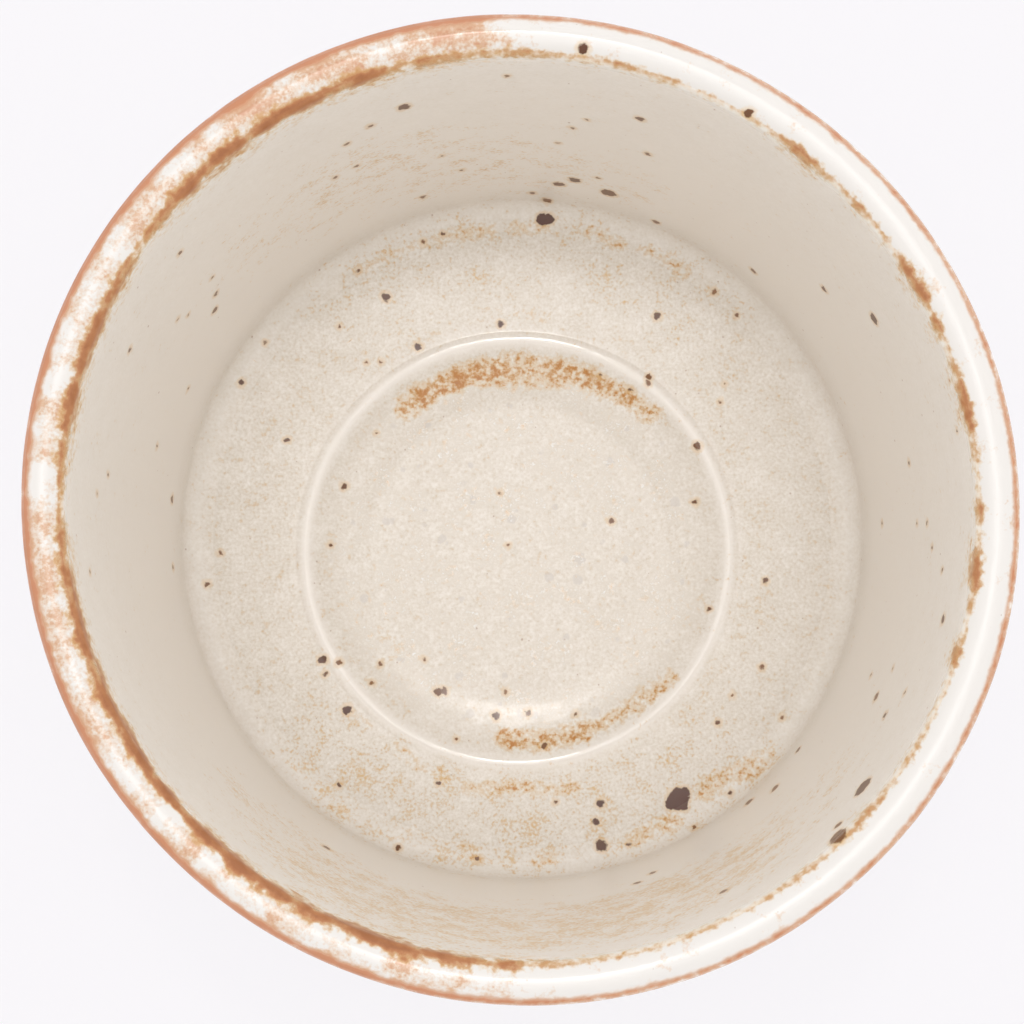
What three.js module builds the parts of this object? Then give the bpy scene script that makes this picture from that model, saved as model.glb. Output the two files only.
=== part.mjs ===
// A sencha teacup: thrown stoneware on a luted foot ring, under three coats of glaze.
// Millimetres, +Z up. The origin is the middle of the circle that the foot stands on.
import * as THREE from "three";

// Finished cup, measured over the glaze
const CUP_HEIGHT = 68; // from the table to the top of the lip
const RIM_DIAMETER = 82; // mean of the long way and the short way across the lip
const RIM_OVAL = 0.4; // what the long way adds to the rim's radius, and the short way takes off it
const OVAL_TURN = 144; // degrees from +X to the long way
const LIP_WIDTH = 3.9; // from the outer face to the inner face at the lip
const FLOOR_DIAMETER = 66.2; // inside, where the lines of the wall and the floor meet
const HIP_DIAMETER = 76; // outside, where the lines of the wall and the underside meet

// Clay floor, and the shallow well in it where the last of the tea settles
const FLOOR_THICKNESS = 5.8; // at the wall, from the underside to the floor
const FLOOR_FALL = 0.15; // the floor's drop from the wall to the foot of the bead
const BEAD_HEIGHT = 0.25; // the fine ridge round the well, above the floor beside it
const BEAD_WIDTH = 0.9; // from the bead's outer foot to its crest
const WELL_DIAMETER = 41.6; // across the crest of the bead
const WELL_DEPTH = 1.3; // from the crest to the flat bottom
const WELL_SLOPE = 5; // width of the slope between the crest and the flat bottom
const WELL_DRIFT = 1.4; // how far the well was pressed off the cup's axis
const DRIFT_TURN = 249; // degrees from +X to the side that it lies towards

// Foot ring, thrown apart and luted into a groove scored in the underside
const FOOT_DIAMETER = 48; // over the ring at the underside
const FOOT_WIDTH = 4.4; // of the ring at the underside
const FOOT_HEIGHT = 5; // from the table to the underside
const FOOT_TAPER = 0.7; // what each side of the ring draws in on its way down to the table
const SEAT_DEPTH = 0.6; // of the scored groove
const HIP_RISE = 2; // the underside's climb from the ring to the hip
const RECESS_RISE = 0.5; // the underside's climb from the ring to the middle

// Fillets of the clay
const HIP_FILLET = 9;
const OUTER_LIP_FILLET = 1.1;
const INNER_LIP_FILLET = 0.9;
const FLOOR_FILLET = 2;
const BEAD_FOOT_FILLET = 1.5;
const BEAD_FILLET = 1.2;
const WELL_FILLET = 6;
const FOOT_FILLET = 0.6;

// Glaze coats
const GLAZE_OUTSIDE = 0.4;
const GLAZE_INSIDE = 0.4;
const GLAZE_LIP = 0.6; // the white coat on the crown of the lip
const GLAZE_BREAK = 0.25; // where the coats thin out and meet on the edges of the lip
const GLAZE_BEAD = 0.3; // drawn thin over the bead
const GLAZE_POOL = 0.6; // run together in the well
const GLAZE_END = 0.3; // the outer coat's lower edge
const BREAK_REACH = 3; // down the wall from the lip to where a coat has its full thickness
const BARE_BAND = 4; // clay left bare between the foot ring and the outer coat

// Smoothness
const SEGMENTS = 56; // round the cup
const ARC_STEP = Math.PI / 8; // most turn of a fillet in one step
const PLAIN_SIDE_SHARE = 0.9; // most of a side that a fillet may take
const SHARED_SIDE_SHARE = 0.45; // and of a side that has a fillet at each end

// A corner of a section: distance from the axis, height, and the fillet and glaze thickness there
function corner(radius, height, fillet = 0, glaze = 0) {
  return { at: new THREE.Vector2(radius, height), fillet, glaze };
}

// The arc that rounds a corner, as far as its two sides have room for it.
// It has an even number of steps, so that its middle is a point of the section.
function filletArc(before, here, after) {
  const back = before.at.clone().sub(here.at);
  const onward = after.at.clone().sub(here.at);
  const backRoom = back.length() * (before.fillet ? SHARED_SIDE_SHARE : PLAIN_SIDE_SHARE);
  const onwardRoom = onward.length() * (after.fillet ? SHARED_SIDE_SHARE : PLAIN_SIDE_SHARE);
  const halfAngle = back.angleTo(onward) / 2;
  const tangent = Math.min(here.fillet / Math.tan(halfAngle), backRoom, onwardRoom);
  const start = back.clone().setLength(tangent).add(here.at);
  const centre = back
    .clone()
    .normalize()
    .add(onward.clone().normalize())
    .setLength(tangent / Math.cos(halfAngle))
    .add(here.at);
  const turn = Math.sign(onward.cross(back)) * (Math.PI - 2 * halfAngle);
  const steps = 2 * Math.ceil(Math.abs(turn) / ARC_STEP / 2);
  return Array.from({ length: steps + 1 }, (_, i) =>
    start.clone().rotateAround(centre, (turn * i) / steps),
  );
}

// The points of a section through the corners, and the index of the middle point of each corner
function roundedSection(corners) {
  const points = [];
  const middles = corners.map((here, i) => {
    const arc = here.fillet ? filletArc(corners[i - 1], here, corners[i + 1]) : [here.at];
    points.push(...arc);
    return points.length - 1 - (arc.length - 1) / 2;
  });
  return { points, middles };
}

// Glaze thickness at each point: it changes evenly from the middle of one corner to the next
function glazeThickness(corners, { points, middles }) {
  const travelled = [0];
  points.slice(1).forEach((point, i) => travelled.push(travelled[i] + point.distanceTo(points[i])));
  return points.map((_, i) => {
    const next = Math.max(1, middles.findIndex((middle) => middle >= i));
    return THREE.MathUtils.mapLinear(
      travelled[i],
      travelled[middles[next - 1]],
      travelled[middles[next]],
      corners[next - 1].glaze,
      corners[next].glaze,
    );
  });
}

// The glaze's surface: each clay point moved out by the thickness there, square to the section
function glazeSurface(points, thickness) {
  return points.map((point, i) => {
    const along = (points[i + 1] ?? point).clone().sub(points[i - 1] ?? point);
    const outward = new THREE.Vector2(along.y, -along.x).normalize();
    return point.clone().addScaledVector(outward, thickness[i]);
  });
}

// Splits the facets of a piece's first steps along their other diagonal. A section that runs back
// along its neighbour's then has the same facets as the neighbour, so the two lie face to face.
function matchFacets(geometry, steps) {
  const index = geometry.getIndex();
  const count = geometry.parameters.points.length;
  for (let segment = 0; segment < SEGMENTS; segment++) {
    for (let step = 0; step < steps; step++) {
      const a = segment * count + step;
      const b = a + count;
      const c = b + 1;
      const d = a + 1;
      const place = 6 * (segment * (count - 1) + step);
      [a, b, c, a, c, d].forEach((vertex, i) => index.setX(place + i, vertex));
    }
  }
}

// Moves the well off the axis. The flat floor round it takes up the shift, up to the wall's fillet.
function driftWell(geometry, section) {
  const position = geometry.getAttribute("position");
  const side = THREE.MathUtils.degToRad(DRIFT_TURN);
  for (let i = 0; i < position.count; i++) {
    const point = section[i % section.length];
    const onFloor = point.y > middleOfFloor;
    const share = onFloor ? 1 - THREE.MathUtils.smoothstep(point.x, beadFoot.x, flatFloorEnd) : 0;
    const shift = share * WELL_DRIFT;
    position.setX(i, position.getX(i) + shift * Math.cos(side));
    position.setY(i, position.getY(i) + shift * Math.sin(side));
  }
}

// Pulls a turned piece into the rim's oval, from nothing at the foot to the full oval at the lip
function pullOval(geometry) {
  const position = geometry.getAttribute("position");
  const longWay = THREE.MathUtils.degToRad(OVAL_TURN);
  for (let i = 0; i < position.count; i++) {
    const x = position.getX(i);
    const y = position.getY(i);
    const climb = (position.getZ(i) - grooveTop) / (CUP_HEIGHT - grooveTop);
    const pull = ((2 * RIM_OVAL) / RIM_DIAMETER) * Math.max(0, climb);
    const stretch = 1 + pull * Math.cos(2 * (Math.atan2(y, x) - longWay));
    position.setXY(i, x * stretch, y * stretch);
  }
}

// A named piece turned from a section that starts and ends on the axis, or closes on itself.
// The section's first steps may run back along those of the piece that it lies on.
function turnedPiece(name, look, section, sharedSteps = 0) {
  const geometry = new THREE.LatheGeometry(section, SEGMENTS);
  matchFacets(geometry, sharedSteps);
  geometry.rotateX(Math.PI / 2);
  driftWell(geometry, section);
  pullOval(geometry);
  const piece = new THREE.Mesh(geometry, new THREE.MeshStandardMaterial(look));
  piece.name = name;
  return piece;
}

// Foot ring and the groove that it sits in
const footOuter = FOOT_DIAMETER / 2;
const footInner = footOuter - FOOT_WIDTH;
const grooveTop = FOOT_HEIGHT + SEAT_DEPTH;
const footSection = roundedSection([
  corner(footInner, grooveTop),
  corner(footInner, FOOT_HEIGHT),
  corner(footInner + FOOT_TAPER, 0, FOOT_FILLET),
  corner(footOuter - FOOT_TAPER, 0, FOOT_FILLET),
  corner(footOuter, FOOT_HEIGHT),
  corner(footOuter, grooveTop),
  corner(footInner, grooveTop),
]).points;

// Clay under the glaze: the finished sizes less the coats
const lipTop = CUP_HEIGHT - GLAZE_LIP;
const lipOuter = RIM_DIAMETER / 2 - GLAZE_OUTSIDE;
const lipInner = RIM_DIAMETER / 2 - LIP_WIDTH + GLAZE_INSIDE;
const hip = new THREE.Vector2(HIP_DIAMETER / 2 - GLAZE_OUTSIDE, FOOT_HEIGHT + HIP_RISE);
const floorEdge = new THREE.Vector2(FLOOR_DIAMETER / 2 + GLAZE_INSIDE, FOOT_HEIGHT + FLOOR_THICKNESS);
const beadFoot = new THREE.Vector2(WELL_DIAMETER / 2 + BEAD_WIDTH, floorEdge.y - FLOOR_FALL);
const crest = new THREE.Vector2(WELL_DIAMETER / 2, beadFoot.y + BEAD_HEIGHT);
const wellBottom = crest.y - WELL_DEPTH;
const flatFloorEnd = floorEdge.x - FLOOR_FILLET;
const middleOfFloor = FOOT_HEIGHT + FLOOR_THICKNESS / 2;

// Stations that lie on the straight stretches between those corners
const footSide = new THREE.Vector2(footOuter, FOOT_HEIGHT);
const glazeEnd = footSide.clone().lerp(hip, BARE_BAND / footSide.distanceTo(hip));
const outerEdge = new THREE.Vector2(lipOuter, lipTop);
const innerEdge = new THREE.Vector2(lipInner, lipTop);
const outerFull = outerEdge.clone().lerp(hip, BREAK_REACH / outerEdge.distanceTo(hip));
const innerFull = innerEdge.clone().lerp(floorEdge, BREAK_REACH / innerEdge.distanceTo(floorEdge));

// The glazed part of the clay's section, from above the foot over the lip to the middle of the well
const glazedCorners = [
  corner(glazeEnd.x, glazeEnd.y, 0, GLAZE_END),
  corner(hip.x, hip.y, HIP_FILLET, GLAZE_OUTSIDE),
  corner(outerFull.x, outerFull.y, 0, GLAZE_OUTSIDE),
  corner(lipOuter, lipTop, OUTER_LIP_FILLET, GLAZE_BREAK),
  corner((lipOuter + lipInner) / 2, lipTop, 0, GLAZE_LIP),
  corner(lipInner, lipTop, INNER_LIP_FILLET, GLAZE_BREAK),
  corner(innerFull.x, innerFull.y, 0, GLAZE_INSIDE),
  corner(floorEdge.x, floorEdge.y, FLOOR_FILLET, GLAZE_INSIDE),
  corner(beadFoot.x, beadFoot.y, BEAD_FOOT_FILLET, GLAZE_INSIDE),
  corner(crest.x, crest.y, BEAD_FILLET, GLAZE_BEAD),
  corner(crest.x - WELL_SLOPE, wellBottom, WELL_FILLET, GLAZE_POOL),
  corner(0, wellBottom, 0, GLAZE_POOL),
];
const OUTER_BREAK = 3; // place of the outer lip corner in that list, where two coats meet
const INNER_BREAK = 5; // and of the inner lip corner
const glazed = roundedSection(glazedCorners);
const surface = glazeSurface(glazed.points, glazeThickness(glazedCorners, glazed));

// The clay's whole section: the underside with the foot's groove, then the glazed part
const claySection = [
  new THREE.Vector2(0, FOOT_HEIGHT + RECESS_RISE),
  new THREE.Vector2(footInner, FOOT_HEIGHT),
  new THREE.Vector2(footInner, grooveTop),
  new THREE.Vector2(footOuter, grooveTop),
  footSide,
  ...glazed.points,
];

// A coat between two points of the glazed part: back along the clay, then along the glaze's surface
function coat(name, look, first, last) {
  const underside = glazed.points.slice(first, last + 1).reverse();
  const section = [...underside, ...surface.slice(first, last + 1)];
  if (section[0].x > 0) section.push(section[0].clone());
  return turnedPiece(name, look, section, underside.length);
}

// The finished cup
const outerBreak = glazed.middles[OUTER_BREAK];
const innerBreak = glazed.middles[INNER_BREAK];
const wellMiddle = glazed.points.length - 1;
const cup = new THREE.Group();
cup.name = "sencha_teacup";
cup.add(
  turnedPiece("clay_body", { color: 0xb98763, roughness: 0.85, metalness: 0 }, claySection),
  turnedPiece("foot_ring", { color: 0xb98763, roughness: 0.85, metalness: 0 }, footSection),
  coat("outer_glaze", { color: 0xd3c5b3, roughness: 0.3, metalness: 0 }, 0, outerBreak),
  coat("lip_glaze", { color: 0xf4ece2, roughness: 0.2, metalness: 0 }, outerBreak, innerBreak),
  coat("inner_glaze", { color: 0xddd2c4, roughness: 0.25, metalness: 0 }, innerBreak, wellMiddle),
);

export default cup;
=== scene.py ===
"""A sencha teacup of thrown stoneware: bare clay, a luted foot ring and three coats of speckled glaze."""

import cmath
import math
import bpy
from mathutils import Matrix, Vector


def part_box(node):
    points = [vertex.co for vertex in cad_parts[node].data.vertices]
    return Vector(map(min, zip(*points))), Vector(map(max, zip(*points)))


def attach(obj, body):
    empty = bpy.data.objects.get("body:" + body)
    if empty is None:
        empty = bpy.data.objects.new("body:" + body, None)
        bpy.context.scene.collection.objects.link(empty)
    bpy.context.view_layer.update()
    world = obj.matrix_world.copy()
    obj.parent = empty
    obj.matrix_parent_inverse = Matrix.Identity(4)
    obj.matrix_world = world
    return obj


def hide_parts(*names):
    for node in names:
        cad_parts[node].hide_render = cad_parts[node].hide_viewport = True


bl_info = {
    "name": "Sencha Teacup",
    "version": (1, 0, 0),
    "blender": (4, 5, 0),
    "location": "View3D > Sidebar > Teacup",
    "description": "Turns a stoneware teacup with its foot ring and glaze coats, and sets its stage",
    "category": "Object",
}

import bmesh
import bpy
import numpy as np
from mathutils import Euler, Vector, noise
from mathutils.bvhtree import BVHTree

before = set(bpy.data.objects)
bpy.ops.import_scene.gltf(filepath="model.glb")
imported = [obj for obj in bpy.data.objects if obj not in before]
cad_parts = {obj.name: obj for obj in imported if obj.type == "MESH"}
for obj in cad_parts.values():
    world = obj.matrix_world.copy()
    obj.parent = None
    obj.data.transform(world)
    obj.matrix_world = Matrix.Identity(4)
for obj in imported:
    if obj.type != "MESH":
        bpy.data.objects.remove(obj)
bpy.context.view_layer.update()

MM = 0.001

# Sizes that the frame gives
CLAY_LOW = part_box("clay_body")[0]
FOOT_LOW, FOOT_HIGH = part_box("foot_ring")
LIP_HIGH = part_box("lip_glaze")[1]

# Accidents of the hand: the rim's oval, its rise and fall, and how far the well lies off the axis
OVAL_PULL = 0.4 * MM
OVAL_TURN = math.radians(144)
LIP_WAVE = 0.1 * MM
WELL_DRIFT = 1.4 * MM
DRIFT_TURN = math.radians(249)

# Fillets of the clay
HIP_FILLET = 9 * MM
OUTER_LIP_FILLET = 1.1 * MM
INNER_LIP_FILLET = 0.9 * MM
FLOOR_FILLET = 2 * MM
BEAD_FOOT_FILLET = 1.5 * MM
BEAD_FILLET = 2 * MM
WELL_FILLET = 16 * MM
FOOT_FILLET = 0.6 * MM

# Forms of the clay that a user would rarely change
FLOOR_FALL = 0.15 * MM
BEAD_WIDTH = 0.9 * MM
BEAD_SHOULDER = 1.0 * MM
FLOOR_MARGIN = 4 * MM
WALL_MARGIN = 9 * MM
WELL_SLOPE = 5 * MM
HIP_RISE = 2 * MM
RECESS_RISE = 0.5 * MM
FOOT_WIDTH = 4.4 * MM
FOOT_TAPER = 0.7 * MM
BARE_BAND = 4 * MM

# Glaze thickness, and how far below the lip a coat reaches its full thickness
GLAZE_WALL = 0.4 * MM
GLAZE_LIP = 0.6 * MM
GLAZE_BREAK = 0.25 * MM
GLAZE_POOL = 0.6 * MM
GLAZE_ROLL = 0.55 * MM
BREAK_REACH = 3 * MM

# The lower edge of the outer coat: how far it wanders up and down, and over what height
EDGE_WANDER = 0.9 * MM
EDGE_REACH = 9 * MM

# Waves round the lip and that edge, as share, times round the cup and start in radians, and how
# steeply the lip's waves fade down the wall
LIP_WAVES = ((0.6, 2, 1.0), (0.4, 5, 0.3))
EDGE_WAVES = ((0.6, 3, 0.8), (0.4, 7, 2.1))
LIP_WAVE_FADE = 6

# Unevenness of hand-made glaze, height and width of its waves, and the spiral of throwing outside
FINE_WAVE = (0.012 * MM, 1.6 * MM)
BROAD_WAVE = (0.05 * MM, 11 * MM)
THROWING_HEIGHT = 0.06 * MM
THROWING_PITCH = 6.5 * MM

# Mesh density
SEGMENTS = 360
ARC_STEP = math.radians(7)
ROW_STEP = 0.8 * MM
UNDERSIDE_SKIP = 6
TANGENT_STEP = 0.05 * MM
WELD = 1e-7
SHARP_ANGLE = math.radians(50)

# Camera of the photograph: place, tilt from straight down, and lens
CAMERA_PLACE = Vector((1.34, -15.9, 345.4)) * MM
CAMERA_TURN = Euler((math.radians(3.16), math.radians(0.40), 0.0))
LENS = 119.85
SENSOR = 36.0
IMAGE_SIZE = 1024

# How strongly iron shows brown along the lip: degrees from +X towards +Y, and strength
INNER_EDGE_IRON = (
    (0, 0.9), (2, 0.25), (4, 0.25), (6, 0.5), (9, 0.6), (10, 1.2), (18, 1.1), (19, 0.4), (21, 0.3), (22, 1.1),
    (24, 1.1), (25.5, 0.3), (26.5, 1.3), (32, 1.2), (33.5, 0.5), (35, 0.3), (36, 1.0), (37.5, 0.9), (39, 0.4),
    (41, 0.7), (45, 0.4), (49, 1.2), (54, 1.0), (57, 0.3), (65, 0.4), (75, 0.6), (85, 0.7), (95, 0.9),
    (105, 1.0), (112, 1.6), (125, 1.9), (135, 1.8), (141, 1.4), (145, 0.6), (149, 1.4), (160, 1.6),
    (170, 1.8),
    (174, 1.2), (178, 0.5), (181, 0.5), (184, 1.3), (190, 1.8), (200, 1.6), (215, 1.8), (230, 2.0),
    (240, 2.1), (255, 2.1), (264, 1.8), (271, 1.1), (278, 0.4), (290, 0.4), (310, 0.5), (318, 0.8),
    (325, 0.4), (336, 0.4), (338, 0.3), (340, 1.0), (342.5, 1.0), (344, 0.2), (347, 0.7), (349, 0.6),
    (350, 1.3), (355.5, 1.3), (357, 0.4), (358.5, 0.9),
)
OUTER_EDGE_IRON = (
    (0, 1.0), (40, 1.0), (70, 1.05), (90, 1.5), (105, 2.3), (150, 2.3), (180, 2.1), (215, 2.0),
    (240, 1.7), (260, 1.6), (275, 1.1), (300, 1.0), (330, 1.0),
)
CROWN_IRON = (
    (0, 0.05), (60, 0.05), (82, 0.1), (90, 0.5), (97, 0.9), (120, 0.95), (132, 0.7), (145, 0.75), (156, 0.85),
    (160, 0.6), (164, 0.45), (169, 0.9), (173, 0.6), (177, 0.4), (183, 0.45), (188, 0.8), (200, 0.8),
    (215, 0.75), (228, 0.8), (232, 0.45), (238, 0.7), (247, 0.5), (258, 0.7), (266, 0.3), (275, 0.05),
)

# Iron spots inside: pixel of the photograph, width in millimetres, and darkness
INSIDE_SPOTS = (
    (678, 799, 2.2, 1.0), (685, 792, 1.0, 1.0), (671, 804, 1.1, 1.0), (683, 806, 0.9, 1.0),
    (543, 220, 1.2, 1.0), (549, 219, 1.0, 1.0), (386, 297, 0.85, 0.9), (418, 347, 0.75, 1.0),
    (241, 383, 0.6, 0.9), (358, 271, 0.4, 0.7), (423, 242, 0.45, 0.4), (339, 326, 0.35, 0.6),
    (265, 343, 0.35, 0.5), (381, 362, 0.3, 0.5), (366, 363, 0.3, 0.4), (287, 440, 0.55, 0.8),
    (376, 433, 0.3, 0.5), (216, 294, 0.5, 0.5), (215, 310, 0.7, 0.6), (180, 253, 0.5, 0.5),
    (501, 324, 0.6, 1.0), (657, 316, 0.75, 0.8), (649, 377, 0.6, 0.5), (648, 383, 0.5, 0.3),
    (697, 446, 0.8, 0.6), (559, 184, 1.1, 0.6), (609, 193, 1.5, 0.6), (575, 180, 1.1, 0.7),
    (547, 200, 0.9, 0.3), (656, 222, 0.7, 0.4), (753, 271, 0.6, 0.4), (443, 233, 0.35, 0.7),
    (630, 390, 0.4, 0.6), (600, 375, 0.3, 0.6), (714, 292, 0.5, 0.2), (736, 315, 0.4, 0.4),
    (724, 384, 0.3, 0.4), (720, 402, 0.3, 0.4), (344, 486, 0.7, 0.7), (330, 545, 0.45, 0.7),
    (207, 584, 0.6, 0.6), (220, 553, 0.45, 0.5), (323, 660, 0.85, 0.9), (339, 662, 0.6, 0.4),
    (325, 674, 0.4, 0.7), (347, 710, 0.95, 1.0), (372, 683, 0.5, 0.2), (380, 664, 0.4, 0.4),
    (424, 659, 0.4, 0.4), (438, 692, 0.8, 0.6), (444, 691, 0.7, 0.6), (506, 692, 0.5, 0.2),
    (496, 716, 0.75, 0.8), (528, 713, 0.65, 0.5), (576, 714, 0.4, 0.5), (438, 783, 0.5, 0.8),
    (339, 785, 0.45, 0.8), (398, 848, 0.6, 0.7), (555, 802, 0.45, 0.6), (544, 746, 0.6, 0.5),
    (456, 739, 0.35, 0.4), (478, 858, 0.5, 0.5), (327, 848, 0.8, 0.4), (600, 804, 0.8, 1.0),
    (596, 822, 0.75, 1.0), (601, 846, 1.15, 0.9), (730, 793, 0.45, 0.8),
    (718, 723, 0.45, 0.7), (762, 667, 0.5, 0.4), (732, 695, 0.4, 0.3), (782, 717, 0.4, 0.3),
    (629, 844, 0.4, 0.6), (863, 787, 1.9, 0.8), (838, 836, 1.6, 0.5), (838, 825, 0.8, 0.4),
    (775, 788, 1.0, 0.4), (749, 802, 1.0, 0.4), (694, 828, 0.5, 0.2), (652, 873, 0.7, 0.4),
    (637, 883, 0.7, 0.4), (724, 891, 0.8, 0.4), (876, 697, 0.8, 0.4), (765, 581, 0.55, 0.7),
    (709, 609, 0.4, 0.7), (695, 502, 0.55, 0.7), (611, 521, 0.6, 0.5), (508, 545, 0.35, 0.4),
    (500, 493, 0.3, 0.4), (404, 107, 1.1, 0.8), (640, 119, 0.8, 0.7), (874, 319, 1.1, 0.8),
    (824, 289, 0.6, 0.7), (130, 350, 0.5, 0.6), (172, 499, 0.7, 0.5), (583, 49, 0.9, 0.9),
    (749, 113, 0.7, 0.7), (957, 431, 0.35, 0.5), (909, 463, 0.45, 0.5), (882, 523, 0.45, 0.5),
    (917, 524, 0.3, 0.5), (927, 523, 0.45, 0.5), (932, 547, 0.4, 0.3), (942, 570, 0.4, 0.4),
    (943, 619, 0.8, 0.7), (885, 715, 0.6, 0.7), (905, 692, 0.45, 0.4), (871, 675, 0.35, 0.3),
    (798, 750, 0.6, 0.4), (893, 668, 0.35, 0.3), (212, 278, 0.3, 0.4), (188, 315, 0.3, 0.3),
    (178, 319, 0.3, 0.3), (188, 389, 0.35, 0.4), (157, 446, 0.35, 0.4), (108, 475, 0.35, 0.4),
    (97, 493, 0.3, 0.3), (90, 572, 0.3, 0.3), (173, 567, 0.5, 0.3), (370, 126, 0.6, 0.5),
    (347, 144, 0.5, 0.4), (357, 166, 0.5, 0.4), (335, 178, 0.45, 0.5), (507, 76, 0.4, 0.3),
    (572, 128, 0.5, 0.4), (587, 120, 0.35, 0.3), (648, 154, 0.6, 0.5), (558, 143, 0.4, 0.3),
    (462, 170, 0.4, 0.3), (442, 156, 0.3, 0.3), (423, 197, 0.6, 0.4), (532, 193, 0.6, 0.3),
    (598, 178, 0.4, 0.3),
)

# Iron spots outside, which the photograph doesn't show: degrees, height and width in mm, and darkness
OUTSIDE_SPOTS = (
    (12, 31, 0.9, 0.9), (25, 52, 0.6, 0.7), (41, 18, 0.7, 0.8), (58, 40, 1.2, 1.0), (77, 27, 0.5, 0.6),
    (96, 55, 0.8, 0.8), (113, 36, 0.6, 0.7), (131, 21, 1.0, 0.9), (149, 46, 0.7, 0.7), (166, 30, 0.5, 0.6),
    (187, 57, 0.9, 0.9), (203, 24, 0.6, 0.7), (221, 42, 1.4, 1.0), (239, 33, 0.6, 0.6), (256, 50, 0.8, 0.8),
    (274, 19, 0.7, 0.8), (291, 38, 0.5, 0.6), (307, 28, 1.1, 0.9), (324, 53, 0.7, 0.7), (343, 44, 0.6, 0.7),
)

# Crumbs of golden brown: pixels of the photograph along each trail, reach in millimetres, and strength
CRUMB_TRAILS = (
    (((405, 408), (440, 386), (475, 371), (515, 363), (555, 367), (590, 379), (625, 396), (650, 413)),
     1.9, 1.0),
    (((480, 378), (560, 380)), 1.6, 0.8),
    (((505, 738), (545, 742), (585, 730)), 1.8, 1.0),
    (((590, 730), (620, 714), (645, 699), (670, 678)), 1.3, 0.85),
    (((395, 748), (420, 765), (445, 776)), 1.1, 0.6),
    (((468, 790), (495, 788), (520, 788), (545, 790), (575, 788)), 1.3, 0.8),
    (((705, 790), (725, 778), (750, 768), (765, 762)), 1.9, 0.8),
    (((668, 828), (674, 822)), 1.5, 0.85),
    (((635, 838), (648, 832)), 1.5, 0.75),
    (((400, 838), (412, 832)), 1.2, 0.6),
    (((465, 848), (482, 860)), 1.3, 0.7),
    (((535, 862), (555, 856)), 1.2, 0.75),
    (((332, 806), (345, 815)), 1.2, 0.6),
    (((352, 715), (368, 728)), 1.0, 0.6),
    (((365, 268), (395, 252), (425, 245)), 1.1, 0.65),
    (((440, 238), (465, 232), (490, 230)), 1.3, 0.75),
    (((515, 226), (545, 227)), 1.2, 0.85),
    (((590, 232), (605, 236), (620, 246)), 1.3, 0.75),
    (((645, 250), (665, 258), (685, 272)), 1.3, 0.75),
    (((485, 315), (515, 312), (545, 318)), 1.1, 0.5),
    (((380, 630), (400, 645), (385, 660)), 1.1, 0.5),
    (((620, 790), (645, 800)), 1.2, 0.5),
)

# Soft tan mottling inside: pixels along each trail, reach in millimetres, and strength
MOTTLE_TRAILS = (
    (((400, 910), (460, 922), (520, 928), (610, 918), (660, 902)), 24.0, 0.95),
    (((320, 858), (400, 910)), 18.0, 0.75),
    (((660, 902), (700, 884), (770, 838)), 18.0, 0.6),
    (((360, 178), (430, 165), (500, 165)), 20.0, 0.6),
    (((285, 215), (360, 178)), 14.0, 0.5),
    (((500, 165), (590, 175)), 14.0, 0.5),
    # This trail darkens the -Y side of the floor: partly real tan mottling, partly painted shade
    (((330, 770), (400, 815), (480, 830), (560, 828), (640, 805), (720, 775)), 9.0, 0.6),
    (((350, 290), (430, 255), (520, 245), (610, 260), (690, 295)), 8.0, 0.4),
)

# Marks along a trail are full up to a third of their reach, and fade from there
TRAIL_FADE = 1.5

# Stray crumbs everywhere, and those that fade down the wall from a brown edge of the lip
STRAY_CRUMBS = 0.26
EDGE_CRUMB_REACH = 6 * MM
EDGE_CRUMB_STRENGTH = 0.75
EDGE_CRUMB_IRON = 1.1

# Running glaze draws the marks out down the wall: heights count for less than widths
RUN = (1.0, 1.0, 0.6)

# Reach of a spot's colour beyond its edge, and the room kept between spots of one layer, in millimetres
SPOT_REACH_MM = 1.4
SPOT_ROOM_MM = 1.0


def linear(hex_colour):
    """Linear RGBA of an sRGB hex colour."""
    parts = [int(hex_colour[i:i + 2], 16) / 255 for i in (1, 3, 5)]
    return tuple(p / 12.92 if p <= 0.04045 else ((p + 0.055) / 1.055) ** 2.4 for p in parts) + (1.0,)


def length(name, description, default):
    """A property for a length."""
    return bpy.props.FloatProperty(name=name, description=description, default=default, unit="LENGTH")


def colour(name, description, hex_colour):
    """A property for a colour."""
    return bpy.props.FloatVectorProperty(
        name=name, description=description, default=linear(hex_colour), size=4, subtype="COLOR")


class TeacupSizes(bpy.types.PropertyGroup):
    """Sizes of the finished cup."""

    height: length("Height", "From the table to the top of the lip", LIP_HIGH.z)
    rim_diameter: length("Rim diameter", "Mean of the long way and the short way across the lip", 82 * MM)
    lip_width: length("Lip width", "From the outer face to the inner face at the lip", 3.9 * MM)
    hip_diameter: length("Hip diameter", "Outside, where the lines of wall and underside meet", 76 * MM)
    floor_diameter: length("Floor diameter", "Inside, where the lines of wall and floor meet", 66.2 * MM)
    floor_thickness: length("Floor thickness", "Clay at the wall, from the underside to the floor", 5.8 * MM)
    well_diameter: length("Well diameter", "Across the crest of the bead round the tea well", 41.6 * MM)
    well_depth: length("Well depth", "From the crest of the bead to the flat bottom", 1.3 * MM)
    bead_height: length("Bead height", "The bead round the well, above the floor beside it", 0.13 * MM)
    foot_diameter: length("Foot diameter", "Over the foot ring at the underside", FOOT_HIGH.x - FOOT_LOW.x)
    foot_height: length("Foot height", "From the table to the underside", CLAY_LOW.z)


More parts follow.
